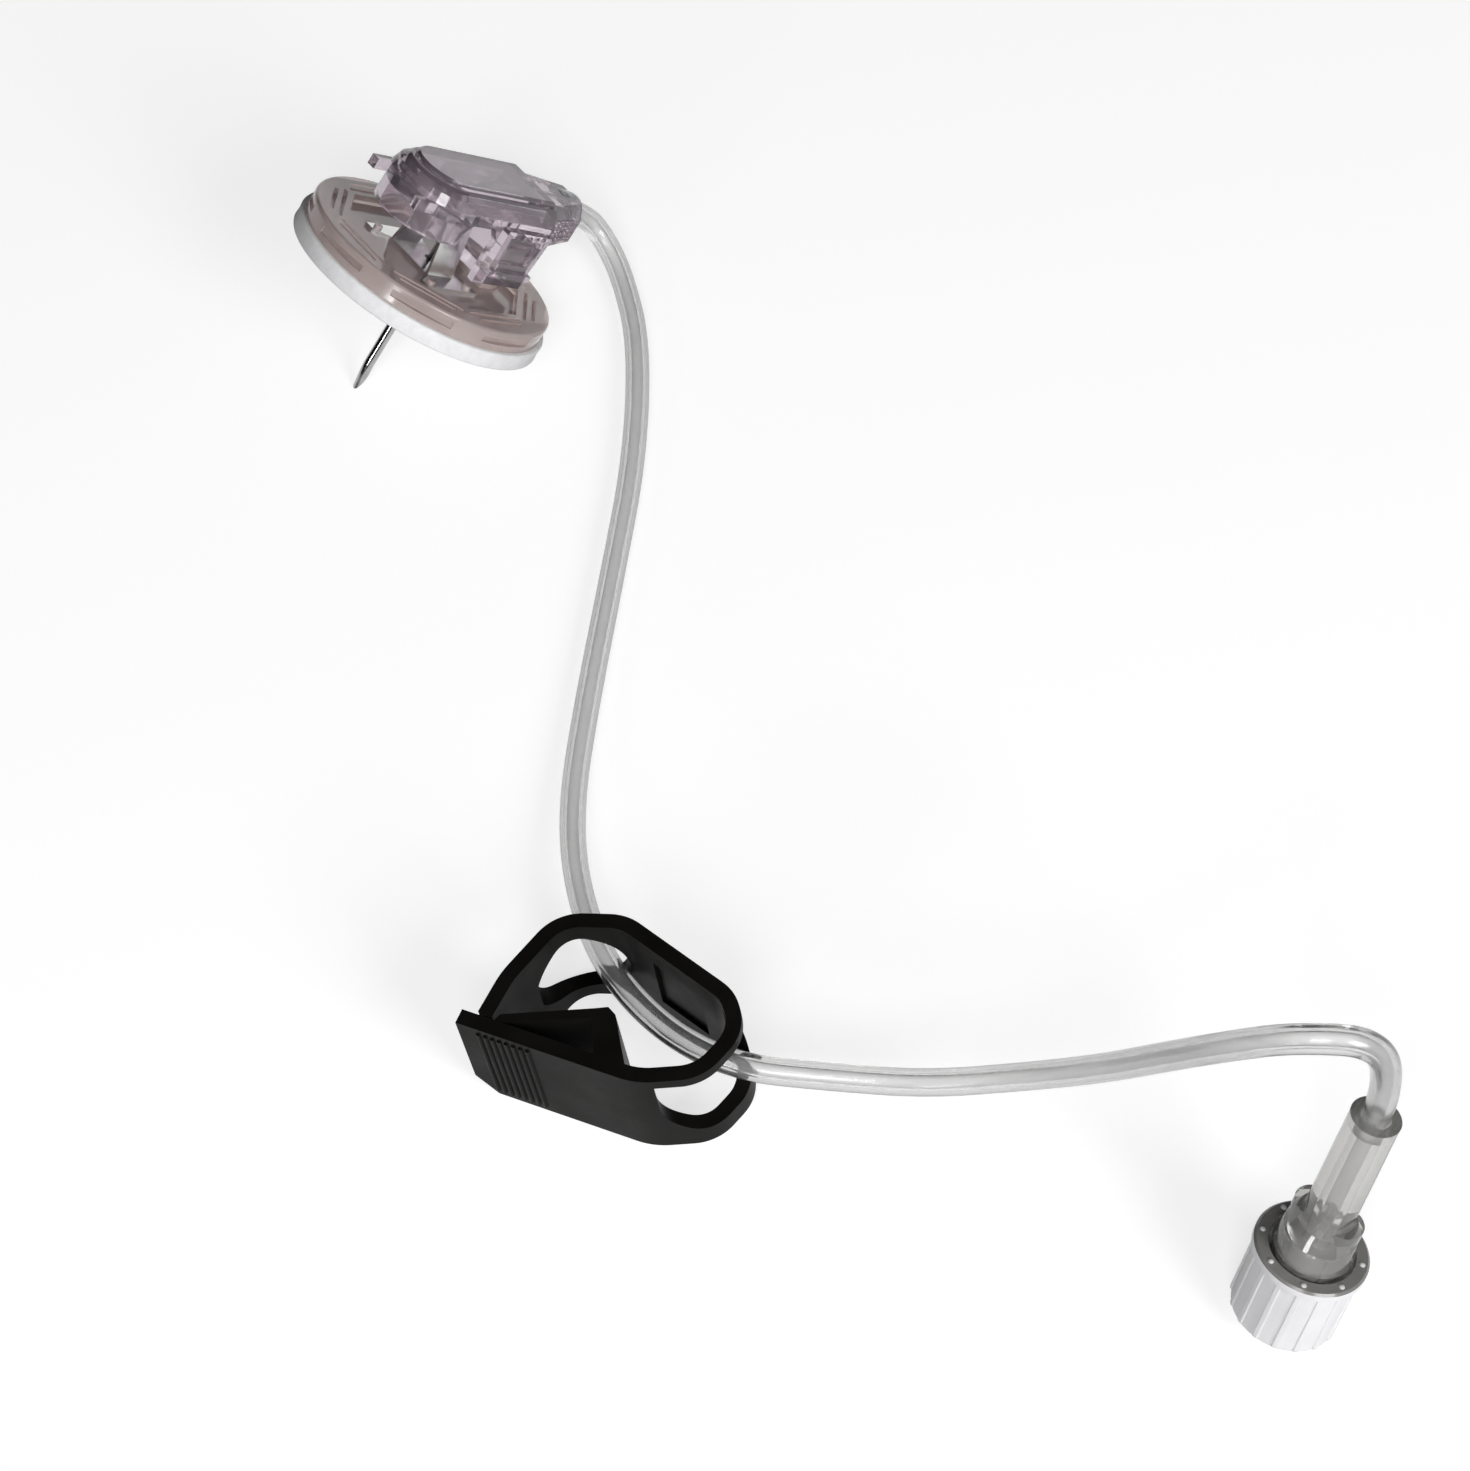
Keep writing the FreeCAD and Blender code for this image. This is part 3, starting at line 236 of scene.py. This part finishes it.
shift = Vector((-2.3811, -0.5243, 0))    # from the source's own zero to the frame's
headPlan = {"rise": 12.6, "run": 13.6, "heading": 37.6}    # it leans on the needle's tip and the pad's edge
headTilt = math.atan2(headPlan["rise"], headPlan["run"])
headPlace = (Matrix.Translation(shift + Vector((0, 0, headPlan["run"] * math.sin(headTilt))))
             @ Matrix.Rotation(math.radians(headPlan["heading"]), 4, "Z")
             @ Matrix.Rotation(headTilt, 4, "Y"))
capPlan = {"foot": (75.6, -105.0), "lean": 17.0, "leanAxis": 142.0, "turn": -42,
           "radius": 4.5, "chamfer": 0.45}
leanTurn = math.radians(capPlan["leanAxis"])
leanAxis = Vector((math.cos(leanTurn), math.sin(leanTurn), 0))
capLean = math.radians(capPlan["lean"])
capLift = (capPlan["radius"] - capPlan["chamfer"]) * math.sin(capLean)
capPlace = (Matrix.Translation(shift + Vector((*capPlan["foot"], capLift)))
            @ Matrix.Rotation(capLean, 4, leanAxis)
            @ Matrix.Rotation(math.radians(capPlan["turn"]), 4, "Z"))
toMetres = Matrix.Scale(mm, 4)

# The cap's rim and its lip get the cloudy darker grey, and the top of the wall inside its mouth gets it as
# painted shade.
mouthPlan = {"rimHeight": 8.2, "upward": 0.3, "wallHeight": 6.5, "wallFrom": 3.2, "wallTo": 3.95}
capMesh = nodes["luer_cap"].data
capMesh.materials.append(mouthGreyAndShade)
mouthGreyShadeSlot = len(capMesh.materials) - 1
capLocal = (toMetres @ capPlace).inverted() @ nodes["luer_cap"].matrix_world
for face in capMesh.polygons:
    middle = capLocal @ face.center
    upwards = (capLocal.to_3x3() @ face.normal).normalized().z
    onRim = middle.z > mouthPlan["rimHeight"] and upwards > mouthPlan["upward"]
    # Painted shade: the top of the wall inside the mouth is coloured dark
    onPaintedShadeWall = (middle.z > mouthPlan["wallHeight"]
              and mouthPlan["wallFrom"] < middle.xy.length < mouthPlan["wallTo"])
    if onRim or onPaintedShadeWall:
        face.material_index = mouthGreyShadeSlot
print("cap's mouth marked")


# Turns a bmesh into a smooth piece that moves with a body
def meshPiece(name, build, material, body):
    mesh = bpy.data.meshes.new(name)
    for face in build.faces:
        face.smooth = True
    build.to_mesh(mesh)
    build.free()
    mesh.materials.append(material)
    piece = bpy.data.objects.new(name, mesh)
    bpy.context.collection.objects.link(piece)
    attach(piece, body)
    return piece


# Skin pad: a die-cut foam disc, soft at its cut edges and drawn in a little between its faces

padPlan = {"radius": 13.6, "hole": 1.13, "thick": 1.8, "edge": 0.2, "soften": 0.3, "waist": 0.06,
           "flat": 0.6, "steps": 120, "weld": 0.0005}


# A closed outline of (radius, height) pairs, turned once about the upright axis
def turned(profile, steps, weld):
    build = bmesh.new()
    rim = [build.verts.new((radius, 0, height)) for radius, height in profile]
    edges = [build.edges.new((corner, rim[index - 1])) for index, corner in enumerate(rim)]
    bmesh.ops.spin(build, geom=rim + edges, cent=(0, 0, 0), axis=(0, 0, 1), angle=math.tau, steps=steps)
    bmesh.ops.remove_doubles(build, verts=build.verts[:], dist=weld)
    bmesh.ops.recalc_face_normals(build, faces=build.faces[:])
    return build


padOuter, padHole, padTop, padFlat = (padPlan[key] for key in ("radius", "hole", "thick", "flat"))
padEdge = padPlan["edge"]
padCorner = padPlan["soften"] * padEdge
cutEdge = [(padEdge, 0.0), (padCorner, padCorner), (0.0, padEdge)]    # inward and upward from a corner
outerRim = [(padOuter - inward, height) for inward, height in cutEdge]
outerRim += [(padOuter - padPlan["waist"], padTop / 2)]
outerRim += [(padOuter - inward, padTop - height) for inward, height in reversed(cutEdge)]
innerRim = [(padHole + inward, padTop - height) for inward, height in cutEdge]
innerRim += [(padHole + inward, height) for inward, height in reversed(cutEdge)]
topFace = [(padOuter - padFlat, padTop), (padHole + padFlat, padTop)]
padProfile = [(padOuter - padFlat, 0.0)] + outerRim + topFace + innerRim + [(padHole + padFlat, 0.0)]
build = turned(padProfile, padPlan["steps"], padPlan["weld"])
bmesh.ops.transform(build, matrix=toMetres @ headPlace, verts=build.verts[:])
skinPad = meshPiece("skin_pad", build, closedFoam, "base")
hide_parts("foam_pad")
print("pad cut")


# Tube: hollow, with the radii of its outside and its bore. Its route is listed along the solid's,
# from the head's tail through the clamp to the connector.

tubePlan = {"outer": 1.2, "bore": 0.55, "steps": 12, "round": 8, "route": [
    (11.60, 10.25, 8.43), (13.93, 12.04, 5.71), (15.82, 11.18, 2.90), (17.62, 7.68, 1.20),
    (19.42, -1.22, 1.20), (19.12, -15.72, 1.20), (17.02, -30.22, 1.20), (14.92, -44.22, 1.20),
    (13.62, -55.62, 1.70), (14.22, -65.12, 3.60), (16.82, -74.32, 5.20), (21.92, -81.52, 6.50),
    (28.32, -85.73, 7.30), (35.93, -86.75, 7.40), (44.24, -88.06, 8.40), (51.84, -89.31, 12.00),
    (57.75, -91.76, 18.20), (62.15, -94.17, 25.00), (65.38, -96.78, 31.60), (69.78, -98.80, 37.00),
    (76.37, -99.23, 36.90), (78.29, -99.03, 28.15), (77.50, -100.04, 23.94)]}


# The route's spline as a mesh: a line where the radius is nothing, else a pipe with open ends
def routeMesh(plan, radius):
    curve = bpy.data.curves.new("route", "CURVE")
    curve.dimensions = "3D"
    curve.resolution_u = plan["steps"]
    curve.bevel_depth = radius * mm
    curve.bevel_resolution = plan["round"]
    spline = curve.splines.new("NURBS")
    spline.points.add(len(plan["route"]) - 1)
    for point, place in zip(spline.points, plan["route"]):
        point.co = [value * mm for value in place] + [1]
    spline.order_u = 3
    spline.use_endpoint_u = True
    holder = bpy.data.objects.new("route", curve)
    mesh = bpy.data.meshes.new_from_object(holder)
    bpy.data.objects.remove(holder)
    return mesh


tubeWidth = 2 * tubePlan["outer"] * mm
tubeLine = [point.co.copy() for point in routeMesh(tubePlan, 0).vertices]
build = bmesh.new()
build.from_mesh(routeMesh(tubePlan, tubePlan["bore"]))
bmesh.ops.reverse_faces(build, faces=build.faces[:])    # the bore's wall faces inwards
build.from_mesh(routeMesh(tubePlan, tubePlan["outer"]))
for end in (tubeLine[0], tubeLine[-1]):
    rims = [edge for edge in build.edges
            if edge.is_boundary and (edge.verts[0].co - end).length < tubeWidth]
    bmesh.ops.bridge_loops(build, edges=rims)
tube = meshPiece("clear_tube", build, softPvc, "hub")
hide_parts("tube")


# Small moulded details that are too fine for the solids

# Low domes; each has a centre and an outward direction in the piece's own frame.
def studs(name, spots, plan, place, material, body):
    build = bmesh.new()
    size = Matrix.Diagonal((plan["radius"], plan["radius"], plan["height"], 1))
    for centre, outward in spots:
        turn = Vector(outward).normalized().to_track_quat("Z", "Y").to_matrix().to_4x4()
        bmesh.ops.create_icosphere(build, subdivisions=2, radius=1,
                                   matrix=toMetres @ place @ Matrix.Translation(centre) @ turn @ size)
    return meshPiece(name, build, material, body)


# Grip dots on both flanks of the tail, in staggered rows. The tail narrows from root to end.
tailPlan = {"root": 8.0, "end": 14.0, "rootHalf": 4.2, "endHalf": 2.6}
gripPlan = {"first": 9.0, "last": 13.5, "columns": 6, "pitch": 0.85, "stagger": 0.4,
            "low": 9.75, "rows": 4, "rowPitch": 0.68, "radius": 0.3, "height": 0.26}
tailSlope = (tailPlan["rootHalf"] - tailPlan["endHalf"]) / (tailPlan["end"] - tailPlan["root"])
gripSpots = []
for flank in (-1, 1):
    for column in range(gripPlan["columns"]):
        for row in range(gripPlan["rows"]):
            along = gripPlan["first"] + gripPlan["pitch"] * column + gripPlan["stagger"] * (row % 2)
            half = tailPlan["rootHalf"] - tailSlope * (along - tailPlan["root"])
            if along <= gripPlan["last"]:
                height = gripPlan["low"] + gripPlan["rowPitch"] * row
                gripSpots.append(((along, flank * half, height), (tailSlope, flank, 0)))
studs("tail_grip", gripSpots, gripPlan, headPlace, mauveAbs, "hub")

# Dots round the cap's rim
rimDotPlan = {"count": 8, "start": 22.5, "circle": 4.2, "top": 8.6, "radius": 0.26, "height": 0.16}
rimSpots = []
for number in range(rimDotPlan["count"]):
    turn = math.radians(rimDotPlan["start"] + 360 / rimDotPlan["count"] * number)
    sideways = Vector((math.cos(turn), math.sin(turn), 0)) * rimDotPlan["circle"]
    rimSpots.append((sideways + Vector((0, 0, rimDotPlan["top"])), (0, 0, 1)))
studs("cap_rim_dots", rimSpots, rimDotPlan, capPlace, whitePolyethylene, "cap")
print("details added")


# Stage and light, in metres

# White paper, a hair below the part, so that the two never flicker. The camera, mirrors and clear plastic
# see it bright, and other light finds it pale grey.
floorPlan = {"half": 3.0, "drop": 0.00002, "grey": 0.42, "roughness": 0.9, "glow": 0.72}
corners = [(x * floorPlan["half"], y * floorPlan["half"], -floorPlan["drop"])
           for x, y in ((-1, -1), (1, -1), (1, 1), (-1, 1))]
floorMesh = bpy.data.meshes.new("floor")
build = bmesh.new()
build.faces.new([build.verts.new(corner) for corner in corners])
build.to_mesh(floorMesh)
build.free()
floor = bpy.data.objects.new("floor", floorMesh)
bpy.context.collection.objects.link(floor)
floorPaint, floorTree, floorShader = newMaterial("white_paper")
setSockets(floorShader, {
    "Base Color": (floorPlan["grey"], floorPlan["grey"], floorPlan["grey"], 1),
    "Roughness": floorPlan["roughness"], "Specular IOR Level": 0.0, "Emission Color": (1, 1, 1, 1)})
rays = addNode(floorTree, "ShaderNodeLightPath").outputs
seen = rays["Is Camera Ray"]
for kind in ("Is Glossy Ray", "Is Transmission Ray"):
    either = addNode(floorTree, "ShaderNodeMath", {"operation": "MAXIMUM"})
    floorTree.links.new(seen, either.inputs[0])
    floorTree.links.new(rays[kind], either.inputs[1])
    seen = either.outputs["Value"]
lift = addNode(floorTree, "ShaderNodeMath", {"operation": "MULTIPLY"})
floorTree.links.new(seen, lift.inputs[0])
lift.inputs[1].default_value = floorPlan["glow"]
floorTree.links.new(lift.outputs["Value"], floorShader.inputs["Emission Strength"])
floorMesh.materials.append(floorPaint)

# The room is dark above and on the left, and brightens towards the right front.
roomPlan = {"towards": (0.72, -0.55, 0.42),
            "glow": {"From Min": 0.1, "From Max": 1.0, "To Min": 0.07, "To Max": 0.6}}
world = bpy.data.worlds.new("studio")
bpy.context.scene.world = world
world.use_nodes = True
worldTree = world.node_tree
looking = addNode(worldTree, "ShaderNodeTexCoord").outputs["Generated"]
towards = addNode(worldTree, "ShaderNodeVectorMath", {"operation": "DOT_PRODUCT"})
worldTree.links.new(looking, towards.inputs[0])
towards.inputs[1].default_value = roomPlan["towards"]
glow = addNode(worldTree, "ShaderNodeMapRange", roomPlan["glow"], Value=towards.outputs["Value"])
worldTree.links.new(glow.outputs["Result"], worldTree.nodes["Background"].inputs["Strength"])


def areaLight(name, plan):
    data = bpy.data.lights.new(name, "AREA")
    data.shape = "RECTANGLE"
    data.size, data.size_y = plan["size"]
    data.energy = plan["watts"]
    lamp = bpy.data.objects.new(name, data)
    place, target = Vector(plan["place"]), Vector(plan["target"])
    lamp.location = place
    lamp.rotation_euler = (target - place).to_track_quat("-Z", "Y").to_euler()
    bpy.context.collection.objects.link(lamp)


lampPlans = {
    "key_right": {"place": (0.38, -0.46, 0.34), "target": (0.02, -0.04, 0),
                  "size": (0.25, 0.3), "watts": 2.6},
    "fill_front": {"place": (-0.06, -0.52, 0.48), "target": (0.03, -0.05, 0),
                   "size": (0.25, 0.25), "watts": 1.9},
    "strip_left": {"place": (-0.36, -0.60, 0.24), "target": (0, 0, 0.01),
                   "size": (0.16, 0.06), "watts": 0.5}}
for name, plan in lampPlans.items():
    areaLight(name, plan)

bpy.context.scene.view_settings.view_transform = "Standard"
print("stage lit")
